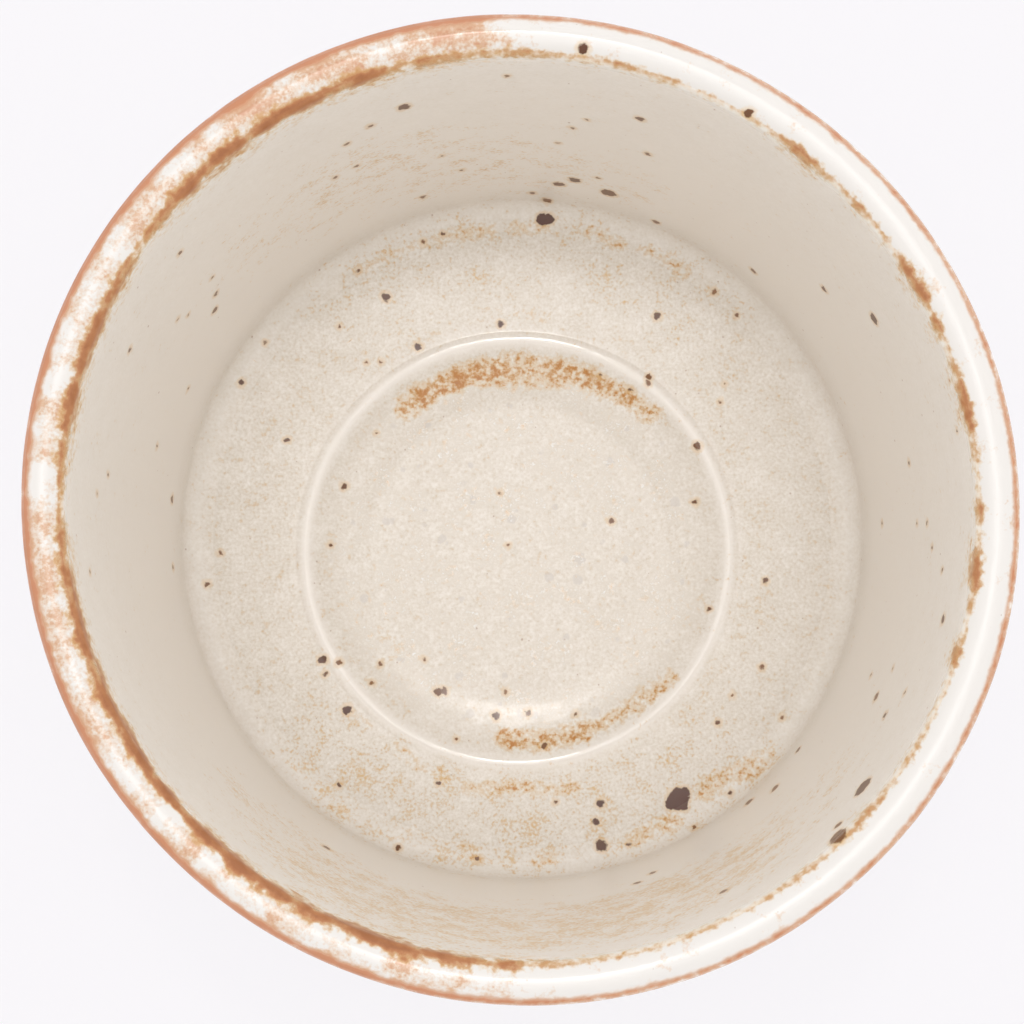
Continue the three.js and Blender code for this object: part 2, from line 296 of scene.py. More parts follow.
class TeacupColours(bpy.types.PropertyGroup):
    """Colours of the fired clay and glazes."""

    cream: colour("Cream glaze", "Body of the cream glaze", "#FAF5EF")
    cream_thin: colour("Cream glaze, thin", "Where the cream glaze lies thinner", "#CFC2AE")
    white: colour("White glaze", "Thick glaze on the crown of the lip", "#ECE7E2")
    blush: colour("Blush", "White glaze on the crown where the clay shows through", "#DEBC9B")
    # Grey of the flecks in the well's pool: painted shade in its reflection, where the orange peel misses the
    # lamp
    painted_fleck_shade: colour("Grey fleck", "Translucent flecks in the thick pool of glaze", "#D9D2CC")
    tan: colour("Tan fringe", "Thin glaze beside the brown edges and crumbs", "#DFB878")
    rust: colour("Rust break", "Iron brown where the glaze breaks over an edge", "#B9764A")
    deep_rust: colour("Deep rust", "Darkest iron in the middle of a brown edge", "#8F4E2A")
    salmon: colour("Salmon break", "Paler iron brown on the outer edge of the lip", "#C98258")
    crumb: colour("Crumb", "Golden brown crumbs in the glaze", "#C4822C")
    veiled_iron: colour("Veiled iron", "Faint iron spots, seen through glaze", "#9A6B40")
    iron: colour("Iron spot", "Dark iron spots that melted through the glaze", "#5A3320")
    clay: colour("Bare clay", "Unglazed stoneware", "#A9775A")


class Section:
    """Half of a turned form, as complex points: distance from the axis plus height times i."""

    def __init__(self, corners):
        """Rounds each (place, fillet) corner, and keeps the distance along to the middle of each."""
        points = []
        middles = []
        for i, (place, fillet) in enumerate(corners):
            arc = [place]
            if fillet:
                arc = fillet_arc(corners[i - 1][0], place, corners[i + 1][0], fillet)
            points.extend(arc)
            middles.append(len(points) - 1 - len(arc) // 2)
        self.points = np.array(points)
        self.travelled = np.concatenate([[0.0], np.cumsum(abs(np.diff(self.points)))])
        self.stations = self.travelled[middles]

    def place(self, distance):
        """Points at distances along the section."""
        across = np.interp(distance, self.travelled, self.points.real)
        return across + 1j * np.interp(distance, self.travelled, self.points.imag)

    def outward(self, distance):
        """Unit normals at distances along the section, on its right-hand side."""
        along = self.place(distance + TANGENT_STEP) - self.place(distance - TANGENT_STEP)
        return -1j * along / abs(along)

    def rows(self, start=0.0):
        """Distances of the section's own points from a start on, with more on its straight stretches."""
        rows = [start]
        for end in self.travelled[self.travelled > start]:
            steps = math.ceil((end - rows[-1]) / ROW_STEP)
            rows.extend(np.linspace(rows[-1], end, steps + 1)[1:])
        return np.array(rows)


def fillet_arc(before, here, after, fillet):
    """Points of the arc that rounds the corner at here."""
    inward = (here - before) / abs(here - before)
    turn = cmath.phase((after - here) / inward)
    start = here - inward * fillet * math.tan(abs(turn) / 2)
    centre = start + 1j * inward * math.copysign(fillet, turn)
    steps = 2 * max(2, math.ceil(abs(turn) / ARC_STEP / 2))
    return centre + (start - centre) * np.exp(1j * turn * np.linspace(0, 1, steps + 1))


def towards(start, end, distance):
    """The point at a distance from start on the way to end."""
    return start + distance * (end - start) / abs(end - start)


OUTER_BREAK_STATION = 4
INNER_BREAK_STATION = 6
SHOULDER_STATION = 14


def glazed_section(sizes):
    """The clay from the foot ring over the lip to the middle of the well.

    Gives the section and, at each of its stations, the glaze's thickness, roughness and grain."""
    foot_side = complex(sizes.foot_diameter / 2, sizes.foot_height)
    hip = complex(sizes.hip_diameter / 2 - GLAZE_WALL, sizes.foot_height + HIP_RISE)
    glaze_end = towards(foot_side, hip, BARE_BAND)
    top = sizes.height - GLAZE_LIP
    outer = complex(sizes.rim_diameter / 2 - GLAZE_WALL, top)
    inner = complex(sizes.rim_diameter / 2 - sizes.lip_width + GLAZE_WALL, top)
    floor_edge = complex(sizes.floor_diameter / 2 + GLAZE_WALL, sizes.foot_height + sizes.floor_thickness)
    outer_full = towards(outer, hip, BREAK_REACH)
    inner_full = towards(inner, floor_edge, BREAK_REACH)
    bead_foot = complex(sizes.well_diameter / 2 + BEAD_WIDTH, floor_edge.imag - FLOOR_FALL)
    crest = complex(sizes.well_diameter / 2, bead_foot.imag + sizes.bead_height)
    wall_low = towards(floor_edge, inner, WALL_MARGIN)
    floor_flat = towards(floor_edge, bead_foot, FLOOR_MARGIN)
    bead_side = towards(bead_foot, floor_edge, BEAD_SHOULDER)
    well_foot = crest - complex(WELL_SLOPE, sizes.well_depth)
    shoulder = towards(crest, well_foot, BEAD_SHOULDER)
    # Each corner: place, fillet, and the glaze's thickness, roughness and grain
    corners = (
        (foot_side, 0, GLAZE_ROLL, 0.26, 0.6),
        (glaze_end, 0, GLAZE_ROLL, 0.26, 0.6),
        (hip, HIP_FILLET, GLAZE_WALL, 0.24, 0.6),
        (outer_full, 0, GLAZE_WALL, 0.24, 0.6),
        (outer, OUTER_LIP_FILLET, GLAZE_BREAK, 0.2, 0.3),
        ((outer + inner) / 2, 0, GLAZE_LIP, 0.18, 0.3),
        (inner, INNER_LIP_FILLET, GLAZE_BREAK, 0.2, 0.3),
        (inner_full, 0, GLAZE_WALL, 0.36, 0.3),
        (wall_low, 0, GLAZE_WALL, 0.36, 0.0),
        (floor_edge, FLOOR_FILLET, GLAZE_WALL, 0.36, 0.5),
        (floor_flat, 0, GLAZE_WALL, 0.26, 0.95),
        (bead_side, 0, GLAZE_WALL, 0.22, 0.95),
        (bead_foot, BEAD_FOOT_FILLET, GLAZE_WALL, 0.16, 0.7),
        # The crest of the bead has little grain, so it is painted paler: a painted highlight round the well
        (crest, BEAD_FILLET, GLAZE_WALL, 0.11, 0.1),
        (shoulder, 0, GLAZE_WALL, 0.2, 0.8),
        (well_foot, WELL_FILLET, GLAZE_POOL, 0.2, 0.9),
        (complex(0, well_foot.imag), 0, GLAZE_POOL, 0.2, 0.9),
    )
    return Section([corner[:2] for corner in corners]), np.array([corner[2:] for corner in corners]).T


def eased(share):
    """A share held between 0 and 1, with a soft start and end."""
    held = np.clip(share, 0, 1)
    return held * held * (3 - 2 * held)


def waved(waves, angles):
    """The sum at each angle of waves of (share, times round the cup, start in radians)."""
    return sum(share * np.sin(times * angles + start) for share, times, start in waves)


def turned(points, angles, sizes):
    """Turns section points about the axis, and gives them the accidents of the hand.

    The rim is pulled oval and waves up and down, and the floor inside drifts with its well."""
    climb = np.maximum(points.imag - FOOT_HIGH.z, 0) / (sizes.height - FOOT_HIGH.z)
    pull = 2 * OVAL_PULL / sizes.rim_diameter * climb
    radius = points.real * (1 + pull * np.cos(2 * (angles - OVAL_TURN)))
    wave = LIP_WAVE * waved(LIP_WAVES, angles)
    height = points.imag + wave * climb ** LIP_WAVE_FADE
    well = sizes.well_diameter / 2 + BEAD_WIDTH
    flat_end = sizes.floor_diameter / 2 + GLAZE_WALL - FLOOR_FILLET
    on_floor = points.imag > sizes.foot_height + sizes.floor_thickness / 2
    drift = WELL_DRIFT * np.where(on_floor, 1 - eased((points.real - well) / (flat_end - well)), 0)
    across = radius * np.cos(angles) + drift * math.cos(DRIFT_TURN)
    along = radius * np.sin(angles) + drift * math.sin(DRIFT_TURN)
    return np.stack([across, along, height], axis=-1)


def unevenness(places):
    """Height of the glaze's own waves at each place."""
    heights = np.zeros(len(places))
    for height, width in (FINE_WAVE, BROAD_WAVE):
        heights += [height * noise.noise(Vector(place) / width) for place in places]
    return heights


def round_the_rim(stations, angles):
    """Strength at each angle, between stations of (degrees, strength)."""
    degrees, strengths = zip(*stations)
    return np.interp(np.degrees(angles), degrees, strengths, period=360)


def pixel_ray(across, down):
    """Start and direction of the ray through a pixel of the photograph."""
    focal = LENS / SENSOR * IMAGE_SIZE
    half = IMAGE_SIZE / 2
    ray = Vector(((across - half) / focal, (half - down) / focal, -1.0))
    ray.rotate(CAMERA_TURN)
    return CAMERA_PLACE, ray.normalized()


def outside_ray(degrees, height):
    """Start and direction of a level ray from outside towards the axis."""
    side = Vector((math.cos(math.radians(degrees)), math.sin(math.radians(degrees)), 0.0))
    return LIP_HIGH.x * 2 * side + Vector((0.0, 0.0, height * MM)), -side


def struck(tree, ray):
    """Where a ray strikes the glaze, in metres."""
    place = tree.ray_cast(*ray)[0]
    if place is None:
        raise ValueError(f"no glaze under the ray {ray}")
    return np.array(place)


def along_trails(places, tree, trails):
    """Strength at each place of marks that fade away from trails of pixels."""
    strength = np.zeros(len(places))
    for pixels, reach, most in trails:
        trail = [struck(tree, pixel_ray(*pixel)) for pixel in pixels]
        for start, end in zip(trail, trail[1:]):
            share = np.clip((places - start) @ (end - start) / np.sum((end - start) ** 2), 0, 1)
            away = np.linalg.norm(places - start - share[:, None] * (end - start), axis=1)
            fade = TRAIL_FADE * (1 - away / (reach * MM))
            strength = np.maximum(strength, most * eased(fade))
    return strength


def layered_spots(tree):
    """Spots as (run place, width in mm, darkness), in layers whose spots keep clear of each other."""
    spots = [(pixel_ray(x, y), width, dark) for x, y, width, dark in INSIDE_SPOTS]
    spots += [(outside_ray(turn, z), width, dark) for turn, z, width, dark in OUTSIDE_SPOTS]
    layers = []
    for ray, width, dark in spots:
        place = struck(tree, ray) * RUN
        for layer in layers:
            room = [np.linalg.norm(place - other[0]) / MM - (width + other[1]) / 2 for other in layer]
            if min(room) > 2 * SPOT_REACH_MM + SPOT_ROOM_MM:
                layer.append((place, width, dark))
                break
        else:
            layers.append([(place, width, dark)])
    return layers


class GlazedCup:
    """The glazed surface and the clay under it, as one grid of rows and segments, with its marks."""

    def __init__(self, sizes):
        section, coat = glazed_section(sizes)
        stations = section.stations
        self.angles = np.arange(SEGMENTS) * math.tau / SEGMENTS
        self.rows = section.rows(stations[1])
        self.outer_break = int(np.argmin(abs(self.rows - stations[OUTER_BREAK_STATION])))
        self.inner_break = int(np.argmin(abs(self.rows - stations[INNER_BREAK_STATION])))
        step = np.interp(self.rows, stations, np.arange(len(stations)))
        low = np.minimum(step.astype(int), len(stations) - 2)
        between = coat[:, low] + (coat[:, low + 1] - coat[:, low]) * eased(step - low)
        thickness, self.roughness, self.grain = between
        thicker = (thickness - GLAZE_WALL) / (GLAZE_POOL - GLAZE_WALL)
        self.pool = np.where(self.rows > stations[SHOULDER_STATION], thicker, 0)
        above_end = self.rows - self.rows[0]
        rolled = np.minimum(above_end / GLAZE_ROLL, 1)
        thickness *= np.sqrt(1 - (1 - rolled) ** 2)
        wander = EDGE_WANDER * waved(EDGE_WAVES, self.angles)
        fade = np.clip(1 - above_end / EDGE_REACH, 0, 1) ** 2
        distance = self.rows[:, None] + fade[:, None] * wander[None, :]
        clay = section.place(distance)
        outward = section.outward(distance)
        surface = clay + outward * thickness[:, None]
        self.clay = turned(clay, self.angles[None, :], sizes)
        even = turned(surface, self.angles[None, :], sizes)
        lift = unevenness(even.reshape(-1, 3)).reshape(even.shape[:2])
        spiral = THROWING_HEIGHT * np.sin(math.tau * surface.imag / THROWING_PITCH + self.angles[None, :])
        lift[:self.outer_break] += spiral[:self.outer_break]
        lift *= np.minimum(thickness / GLAZE_BREAK, 1)[:, None]
        self.surface = turned(surface + outward * lift, self.angles[None, :], sizes)
        self.marks = self.marked()

    def marked(self):
        """Fields that the glaze's colours follow, by name, each over the whole grid."""
        grid = self.surface.shape[:2]
        places = self.surface.reshape(-1, 3)
        corners = turned_faces(*grid, closed=False)
        tree = BVHTree.FromPolygons(places.tolist(), corners.tolist())
        level = np.ones(grid)
        from_outer = abs(self.rows - self.rows[self.outer_break])[:, None]
        from_inner = abs(self.rows - self.rows[self.inner_break])[:, None]
        outer_iron = round_the_rim(OUTER_EDGE_IRON, self.angles)[None, :]
        inner_iron = round_the_rim(INNER_EDGE_IRON, self.angles)[None, :]
        crumbs = along_trails(places, tree, CRUMB_TRAILS).reshape(grid)
        crumbs = np.maximum(crumbs, STRAY_CRUMBS * self.grain[:, None])
        for iron, away in ((outer_iron, from_outer), (inner_iron, from_inner)):
            held = np.minimum(iron, EDGE_CRUMB_IRON)
            crumbs = np.maximum(crumbs, EDGE_CRUMB_STRENGTH * eased(held - away / EDGE_CRUMB_REACH))
        fields = {
            "outer_edge_mm": from_outer / MM * level,
            "inner_edge_mm": from_inner / MM * level,
            "outer_iron": outer_iron * level,
            "inner_iron": inner_iron * level,
            "crown_iron": round_the_rim(CROWN_IRON, self.angles)[None, :] * level,
            "roughness": self.roughness[:, None] * level,
            "grain": self.grain[:, None] * level,
            "pool": self.pool[:, None] * level,
            "crumbs": crumbs,
            "mottle": along_trails(places, tree, MOTTLE_TRAILS).reshape(grid),
        }
        darkness = np.zeros(len(places))
        closest = np.full(len(places), np.inf)
        layers = layered_spots(tree)
        for i, layer in enumerate(layers):
            spots = np.array([spot[0] for spot in layer])
            widths = np.array([spot[1] for spot in layer])
            darks = np.array([spot[2] for spot in layer])
            away = np.linalg.norm((places * RUN)[:, None, :] - spots[None, :, :], axis=2) / MM - widths / 2
            nearest = np.argmin(away, axis=1)
            gap = away[np.arange(len(places)), nearest]
            darkness = np.where(gap < closest, darks[nearest], darkness)
            closest = np.minimum(gap, closest)
            fields[f"spot_place_{i}"] = (spots[nearest] / MM).reshape(*grid, 3)
            fields[f"spot_width_{i}"] = np.where(gap < SPOT_REACH_MM, widths[nearest], 0).reshape(grid)
        fields["spot_darkness"] = darkness.reshape(grid)
        self.spot_layers = len(layers)
        return fields

    def coat(self, name, first, last):
        """The closed coat between two rows: back along the clay, then along the surface."""
        under = np.unique(np.append(np.arange(first, last, UNDERSIDE_SKIP), last))[::-1]
        over = np.arange(first, last + 1)
        rows = np.concatenate([under, over])
        mesh = turned_mesh(name, np.concatenate([self.clay[under], self.surface[over]]),
                           closed=last < len(self.rows) - 1)
        for field, values in self.marks.items():
            flat = values[rows].ravel().astype(np.float32)
            if values.ndim == 3:
                mesh.attributes.new(field, "FLOAT_VECTOR", "POINT").data.foreach_set("vector", flat)
            else:
                mesh.attributes.new(field, "FLOAT", "POINT").data.foreach_set("value", flat)
        return weld(mesh)


def turned_faces(rows, segments, closed):
    """Faces between rows of points round the axis. Closed ones also join the last row to the first."""
    row = np.arange(rows if closed else rows - 1)[:, None] * segments
    step = np.arange(segments)[None, :]
    beside = (step + 1) % segments
    above = (row + segments) % (rows * segments)
    return np.stack([row + step, row + beside, above + beside, above + step], axis=-1).reshape(-1, 4)


def turned_mesh(name, places, closed):
    """A mesh through rows of points round the axis."""
    mesh = bpy.data.meshes.new(name)
    mesh.from_pydata(places.reshape(-1, 3).tolist(), [], turned_faces(*places.shape[:2], closed).tolist())
    return mesh


def weld(mesh):
    """Joins the points that meet on the axis, and shades the turned faces smooth up to their edges."""
    form = bmesh.new()
    form.from_mesh(mesh)
    bmesh.ops.remove_doubles(form, verts=form.verts, dist=WELD)
    form.to_mesh(mesh)
    form.free()
    mesh.shade_smooth()
    mesh.set_sharp_from_angle(angle=SHARP_ANGLE)
    return mesh


def turned_piece(name, section, closed, sizes):
    """Mesh of a section turned about the axis."""
    angles = np.arange(SEGMENTS) * math.tau / SEGMENTS
    points = section.place(section.rows())
    return weld(turned_mesh(name, turned(points[:, None], angles[None, :], sizes), closed))


def add(tree, kind, inputs, output=0, **settings):
    """Adds a shader node with its settings, links or sets its inputs, and gives an output, if any."""
    made = tree.nodes.new("ShaderNode" + kind)
    for name, value in settings.items():
        setattr(made, name, value)
    for name, value in inputs.items():
        if isinstance(value, bpy.types.NodeSocket):
            tree.links.new(value, made.inputs[name])
        else:
            made.inputs[name].default_value = value
    return made.outputs[output] if made.outputs else None


def new_material(name):
    """An empty node material, its tree, and the object's own coordinates in millimetres."""
    made = bpy.data.materials.new(name)
    made.use_nodes = True
    tree = made.node_tree
    tree.nodes.clear()
    own = add(tree, "TexCoord", {}, "Object")
    place = add(tree, "VectorMath", {0: own, "Scale": 1 / MM}, operation="SCALE")
    return made, tree, place


# Grain of the glaze and its marks, in millimetres
FINE_MM = 0.3
GRAIN_MM = 0.62
PATCH_MM = 2.4
PEEL_MM = 0.9
FLECK_MM = 1.9
RAGGED_MM = 0.7
SPOT_HALO_MM = 0.4

# Real pepper specks are under 0.1 mm wide: these are drawn twice as wide, so that they show at all
PEPPER_MM = 1.1

# Detail of the fine, grainy and patchy noises, and how much the last two count in the clouds
NOISE_DETAILS = (2.0, 3.0, 2.0)
GRAIN_WEIGHT = 0.5
PATCH_WEIGHT = 0.5

# Each kind of mark follows a level: its start, and the weights of the mesh's field and of each noise
MOTTLE_START, MOTTLE_WEIGHTS = -0.75, (0.4, 0.75, 1.0)
CRUMB_START, CRUMB_WEIGHTS = -0.67, (0.46, 0.4, 0.35, 0.8)
BLUSH_START, BLUSH_WEIGHTS = -0.36, (0.5, 1.1, 0.55)

# Bands of colour over a level, a share or a depth: where each starts, where it is full, and its most
MOTTLE_BANDS = ((0.66, 0.94, 0.65),)
CRUMB_BANDS = ((0.3, 0.62, 0.7), (0.5, 0.7, 0.95), (0.64, 0.84, 0.7))
BLUSH_BANDS = ((0.8, 1.08, 0.85), (0.99, 1.24, 0.65))
EDGE_BANDS = ((0.0, 0.4, 0.8), (0.15, 0.6, 0.9), (0.6, 1.2, 0.7))
SPOT_BANDS = ((-SPOT_HALO_MM, 0.0, 0.5), (-0.04, 0.08, 1.0))
PEPPER_BANDS = ((0.0, 0.06, 0.5),)
CLOUD_START, CLOUD_FULL = 0.6, 1.5
# Painted reflection in the well's pool: grey flecks of painted shade, white glints of painted highlight, and
# where the glints crowd
FLECK_START, FLECK_FULL, FLECK_MOST = -0.03, 0.05, 0.6
PAINTED_GLINT_START, PAINTED_GLINT_FULL, PAINTED_GLINT_MOST = 0.78, 0.92, 0.9
PAINTED_GLINT_CROWD_START, PAINTED_GLINT_CROWD_FULL = 0.48, 0.62

# Sizes of specks and flecks, as shares of a cell: the least, below zero for none, and the spread above it
DOT_LEAST = -0.15
PEPPER_SPREAD = 0.3
FLECK_SPREAD = 0.5

# A brown edge, as shares of its reach: its mean width, what weak iron loses, and where its colour runs
EDGE_WIDTH = 0.7
EDGE_LOSS = 0.35
EDGE_START, EDGE_FULL = -0.5, 1.3

# White of the painted glints, a painted highlight in the well's pool
PAINTED_GLINT = linear("#FFFFFF")
FIRED_IOR = 1.5
IRON_ROUGHNESS = 0.38
PEEL_STRENGTH = 0.25
PEEL_HEIGHT = 0.05 * MM


class GlazeLook:
    """Nodes of one glaze coat. Each method lays another kind of mark over the colour so far."""

    def __init__(self, name, base, thin, colours):
        """Clouds of thinner glaze, a fine grain and pepper specks."""
        self.material, self.tree, self.place = new_material(name)
        self.colours = colours
        self.colour = base
        self.iron = 0.0
        tree = self.tree
        self.fine, self.grain, self.patch = [
            add(tree, "TexNoise", {"Vector": self.place, "Scale": 1 / width, "Detail": detail})
            for width, detail in zip((FINE_MM, GRAIN_MM, PATCH_MM), NOISE_DETAILS)]
        self.stipple = self.summed(self.fine, (self.grain,), (GRAIN_WEIGHT,))
        clouds = self.summed(self.stipple, (self.patch,), (PATCH_WEIGHT,))
        # How much the clouds of thinner glaze show follows the mesh's grain field; it is low on the bead's
        # crest, where this paints a highlight
        most = add(tree, "Attribute", {}, "Fac", attribute_name="grain")
        self.laid(clouds, ((CLOUD_START, CLOUD_FULL, most),), (thin,))
        self.run = add(tree, "VectorMath", {0: self.place, 1: RUN}, operation="MULTIPLY")
        inputs = {0: self.grain.node.outputs["Color"], 1: [RAGGED_MM] * 3, 2: [-RAGGED_MM / 2] * 3}
        self.shift = add(tree, "VectorMath", inputs, operation="MULTIPLY_ADD")
        specks = self.dotted(self.run, PEPPER_MM, PEPPER_SPREAD)
        self.laid(specks, PEPPER_BANDS, (colours.veiled_iron,))

    def summed(self, start, parts, weights):
        """A start, plus each of the parts by its weight."""
        level = start
        for part, weight in zip(parts, weights):
            inputs = {0: part, 1: weight, 2: level}
            level = add(self.tree, "Math", inputs, operation="MULTIPLY_ADD")
        return level

    def laid(self, level, bands, colours):
        """Lays each colour over the colour so far, where the level is in its band."""
        for (start, full, most), tint in zip(bands, colours):
            share = add(self.tree, "MapRange", {0: level, 1: start, 2: full, 4: most})
            inputs = {0: share, 6: self.colour, 7: tint}
            self.colour = add(self.tree, "Mix", inputs, 2, data_type="RGBA")

    def dotted(self, place, pitch_mm, spread):
        """Depth inside dots of many sizes, one to a cell, in shares of a cell."""
        cell = add(self.tree, "TexVoronoi", {"Vector": place, "Scale": 1 / pitch_mm})
        return self.summed(DOT_LEAST, (cell.node.outputs["Color"], cell), (spread, -1.0))

    def mottled(self):
        """Soft tan streaks on the wall and the edge of the floor."""
        region = add(self.tree, "Attribute", {}, "Fac", attribute_name="mottle")
        level = self.summed(MOTTLE_START, (region, self.patch, self.stipple), MOTTLE_WEIGHTS)
        self.laid(level, MOTTLE_BANDS, (self.colours.tan,))

    def crumbled(self):
        """Golden brown crumbs with a tan fringe and rust in their middles."""
        region = add(self.tree, "Attribute", {}, "Fac", attribute_name="crumbs")
        level = self.summed(CRUMB_START, (region, self.fine, self.patch, self.grain), CRUMB_WEIGHTS)
        self.laid(level, CRUMB_BANDS, (self.colours.tan, self.colours.crumb, self.colours.rust))

    def painted_pool_reflection(self):
        """Painted reflection in the thick pool of the well: a few white glints of painted highlight, and
        greyish flecks of painted shade where the orange peel misses the lamp.
        """
        tree = self.tree
        region = add(tree, "Attribute", {}, "Fac", attribute_name="pool")
        ragged = add(tree, "VectorMath", {0: self.place, 1: self.shift}, operation="ADD")
        flecks = self.dotted(ragged, FLECK_MM, FLECK_SPREAD)
        most = add(tree, "Math", {0: region, 1: FLECK_MOST}, operation="MULTIPLY")
        self.laid(flecks, ((FLECK_START, FLECK_FULL, most),), (self.colours.painted_fleck_shade,))
        # Painted highlight: white glints where the patches crowd
        most = add(tree, "Math", {0: region, 1: PAINTED_GLINT_MOST}, operation="MULTIPLY")
        crowd = add(tree, "MapRange", {0: self.patch, 1: PAINTED_GLINT_CROWD_START, 2: PAINTED_GLINT_CROWD_FULL, 4: most})
        self.laid(self.stipple, ((PAINTED_GLINT_START, PAINTED_GLINT_FULL, crowd),), (PAINTED_GLINT,))

    def broken(self, edge, reach_mm, teeth_mm, dashes, browns):
        """Glaze that thins over an edge of the lip, with browns for its fringe, its core and its middle."""
        tree = self.tree
        away = add(tree, "Attribute", {}, "Fac", attribute_name=edge + "_edge_mm")
        iron = add(tree, "Attribute", {}, "Fac", attribute_name=edge + "_iron")
        width = self.summed((EDGE_WIDTH - dashes / 2) * reach_mm, (self.patch,), (dashes * reach_mm,))
        start = -EDGE_LOSS * reach_mm - teeth_mm
        left = self.summed(start, (iron, self.grain, away), (width, 2 * teeth_mm, -1.0))
        inputs = {0: left, 1: EDGE_START * reach_mm, 2: EDGE_FULL * reach_mm}
        share = add(tree, "MapRange", inputs)
        self.laid(share, EDGE_BANDS, browns)
        self.iron = add(tree, "Math", {0: self.iron, 1: share}, operation="MAXIMUM")

    def blushed(self):
        """Pinkish patches on the crown of the lip, where the clay shows through the white."""
        crown = add(self.tree, "Attribute", {}, "Fac", attribute_name="crown_iron")
        level = self.summed(BLUSH_START, (crown, self.patch, self.stipple), BLUSH_WEIGHTS)
        self.laid(level, BLUSH_BANDS, (self.colours.blush, self.colours.salmon))

    def spotted(self, layers):
        """Iron spots with ragged edges and a tan halo."""
        tree = self.tree
        ragged = add(tree, "VectorMath", {0: self.run, 1: self.shift}, operation="ADD")
        inside = -SPOT_REACH_MM
        for i in range(layers):
            centre = add(tree, "Attribute", {}, "Vector", attribute_name=f"spot_place_{i}")
            width = add(tree, "Attribute", {}, "Fac", attribute_name=f"spot_width_{i}")
            away = add(tree, "VectorMath", {0: ragged, 1: centre}, "Value", operation="DISTANCE")
            depth = self.summed(0.0, (width, away), (0.5, -1.0))
            inside = add(tree, "Math", {0: inside, 1: depth}, operation="MAXIMUM")
        dark = add(tree, "Attribute", {}, "Fac", attribute_name="spot_darkness")
        inputs = {0: dark, 6: self.colours.veiled_iron, 7: self.colours.iron}
        brown = add(tree, "Mix", inputs, 2, data_type="RGBA")
        self.laid(inside, SPOT_BANDS, (self.colours.tan, brown))

    def fired(self):
        """Melted glass over clay: a clear gloss with the slight waves of orange peel, duller on the iron."""
        tree = self.tree
        own = add(tree, "Attribute", {}, "Fac", attribute_name="roughness")
        dull = add(tree, "MapRange", {0: self.iron, 3: own, 4: IRON_ROUGHNESS})
        peel = add(tree, "TexNoise", {"Vector": self.place, "Scale": 1 / PEEL_MM, "Detail": 0.0})
        bump = add(tree, "Bump", {"Height": peel, "Strength": PEEL_STRENGTH, "Distance": PEEL_HEIGHT})
        shader = add(tree, "BsdfPrincipled", {
            "Base Color": self.colour, "Roughness": dull, "IOR": FIRED_IOR, "Normal": bump})
        add(tree, "OutputMaterial", {"Surface": shader})
        return self.material


def inner_glaze_material(colours, layers):
    """Cream stoneware glaze, poured and drained: grey-cream, with iron spots, crumbs and a brown top edge."""
    look = GlazeLook("cream_stoneware_glaze_poured", colours.cream, colours.cream_thin, colours)
    look.painted_pool_reflection()
    look.mottled()
    look.crumbled()
    browns = (colours.tan, colours.rust, colours.deep_rust)
    look.broken("inner", reach_mm=1.5, teeth_mm=0.9, dashes=1.8, browns=browns)
    look.spotted(layers)
    return look.fired()


def lip_glaze_material(colours, layers):
    """White glaze dipped thick on the lip: milky on the crown, breaking to brown along both edges."""
    look = GlazeLook("white_lip_glaze_dipped", colours.white, colours.white, colours)
    look.blushed()
    browns = (colours.tan, colours.rust, colours.deep_rust)
    look.broken("inner", reach_mm=0.45, teeth_mm=0.5, dashes=1.8, browns=browns)
    browns = (colours.blush, colours.salmon, colours.salmon)
    look.broken("outer", reach_mm=0.5, teeth_mm=0.2, dashes=1.0, browns=browns)
    look.spotted(layers)
    return look.fired()


def outer_glaze_material(colours, layers):
    """Cream stoneware glaze on the outside, poured thinner: the same specks, salmon brown below the lip."""
    look = GlazeLook("cream_stoneware_glaze_outside", colours.cream, colours.cream_thin, colours)
    look.crumbled()
    browns = (colours.blush, colours.salmon, colours.rust)
    look.broken("outer", reach_mm=1.4, teeth_mm=0.9, dashes=1.2, browns=browns)
    look.spotted(layers)
    return look.fired()


# Marks of bare clay, in millimetres
GROG_MM = 0.7
CLAY_CLOUD_MM = 5.0
CLAY_GRIT_MM = 0.3
TURNING_PITCH_MM = 0.8

# Clouds of darker clay, grains of paler grog, and the relief of grit and turning lines
CLAY_DETAIL = 3.0
CLAY_SHADE = 0.72
CLAY_CLOUD_START, CLAY_CLOUD_FULL = 0.3, 0.7
GROG_START, GROG_FULL, GROG_MOST = 0.3, 0.12, 0.3
GRIT_WEIGHT = 2.0
CLAY_BUMP_STRENGTH = 0.4
CLAY_BUMP_HEIGHT = 0.06 * MM
CLAY_ROUGHNESS = 0.85


